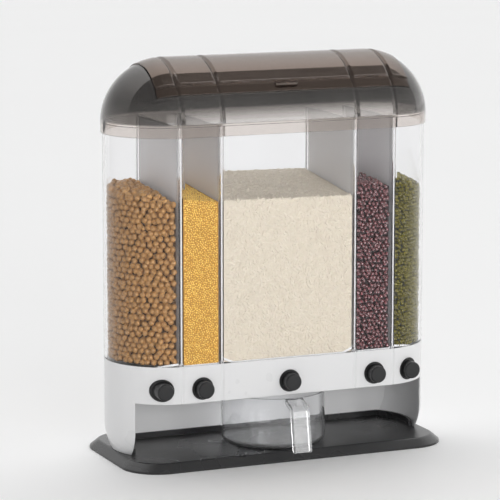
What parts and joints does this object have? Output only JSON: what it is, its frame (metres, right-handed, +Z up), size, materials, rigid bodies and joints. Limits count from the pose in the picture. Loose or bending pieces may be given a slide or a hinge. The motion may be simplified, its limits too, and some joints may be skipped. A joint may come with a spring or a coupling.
{
  "type": "rice storage bucket",
  "caption": "Countertop grain dispenser: a clear divided tank over a white base with push-button gates, a smoked lid with a hinged flap, a black tray and a clear measuring cup.",
  "frame": {"origin": "centre of the tray's underside, on the table", "axes": "+Z up from the table, -Y out of the front where the buttons and the cup's handle are, +X to the right of someone facing the front"},
  "size_m": [0.346, 0.177, 0.402],
  "materials": {
    "white_plastic": "satin",
    "black_plastic": "satin",
    "button_plastic": "satin",
    "gate_plastic": "satin",
    "clear_plastic": "clear",
    "cup_plastic": "clear",
    "smoke_plastic": "smoked, glossy",
    "divider_plastic": "frosted",
    "steel": "plain"
  },
  "bodies": {
    "base": {"base_tray": "black_plastic", "base_housing": "white_plastic", "tank_shell": "clear_plastic", "funnel_screws": "steel", "tray_screws": "steel", "divider_1": "divider_plastic", "divider_2": "divider_plastic", "divider_3": "divider_plastic", "divider_4": "divider_plastic", "funnel_1": "white_plastic", "button_sleeve_1": "button_plastic", "return_spring_1": "steel", "funnel_2": "white_plastic", "button_sleeve_2": "button_plastic", "return_spring_2": "steel", "funnel_3": "white_plastic", "button_sleeve_3": "button_plastic", "return_spring_3": "steel", "funnel_4": "white_plastic", "button_sleeve_4": "button_plastic", "return_spring_4": "steel", "funnel_5": "white_plastic", "button_sleeve_5": "button_plastic", "return_spring_5": "steel"},
    "lid": {"lid_shell": "smoke_plastic", "hinge_pins": "steel"},
    "flap": {"lid_flap": "smoke_plastic"},
    "cup": {"measuring_cup": "cup_plastic"},
    "push_1": {"button_1": "button_plastic", "gate_1": "gate_plastic"},
    "push_2": {"button_2": "button_plastic", "gate_2": "gate_plastic"},
    "push_3": {"button_3": "button_plastic", "gate_3": "gate_plastic"},
    "push_4": {"button_4": "button_plastic", "gate_4": "gate_plastic"},
    "push_5": {"button_5": "button_plastic", "gate_5": "gate_plastic"}
  },
  "joints": [
    {"name": "lid_lift", "type": "slide", "parent": "base", "child": "lid", "axis": [0, 0, 1], "range_m": [0, 0.06]},
    {"name": "flap_hinge", "type": "hinge", "parent": "lid", "child": "flap", "pos_m": [0, 0.05162, 0.38015], "axis": [-1, 0, 0], "range_deg": [0, 105]},
    {"name": "cup_pull", "type": "slide", "parent": "base", "child": "cup", "axis": [0, -1, 0], "range_m": [0, 0.13]},
    {"name": "button_1_press", "type": "slide", "parent": "base", "child": "push_1", "axis": [0, 1, 0], "range_m": [0, 0.01], "stiffness_N_per_m": 150, "springref_m": -0.006, "deforming": ["return_spring_1"]},
    {"name": "button_2_press", "type": "slide", "parent": "base", "child": "push_2", "axis": [0, 1, 0], "range_m": [0, 0.01], "stiffness_N_per_m": 150, "springref_m": -0.006, "deforming": ["return_spring_2"]},
    {"name": "button_3_press", "type": "slide", "parent": "base", "child": "push_3", "axis": [0, 1, 0], "range_m": [0, 0.01], "stiffness_N_per_m": 150, "springref_m": -0.006, "deforming": ["return_spring_3"]},
    {"name": "button_4_press", "type": "slide", "parent": "base", "child": "push_4", "axis": [0, 1, 0], "range_m": [0, 0.01], "stiffness_N_per_m": 150, "springref_m": -0.006, "deforming": ["return_spring_4"]},
    {"name": "button_5_press", "type": "slide", "parent": "base", "child": "push_5", "axis": [0, 1, 0], "range_m": [0, 0.01], "stiffness_N_per_m": 150, "springref_m": -0.006, "deforming": ["return_spring_5"]}
  ]
}
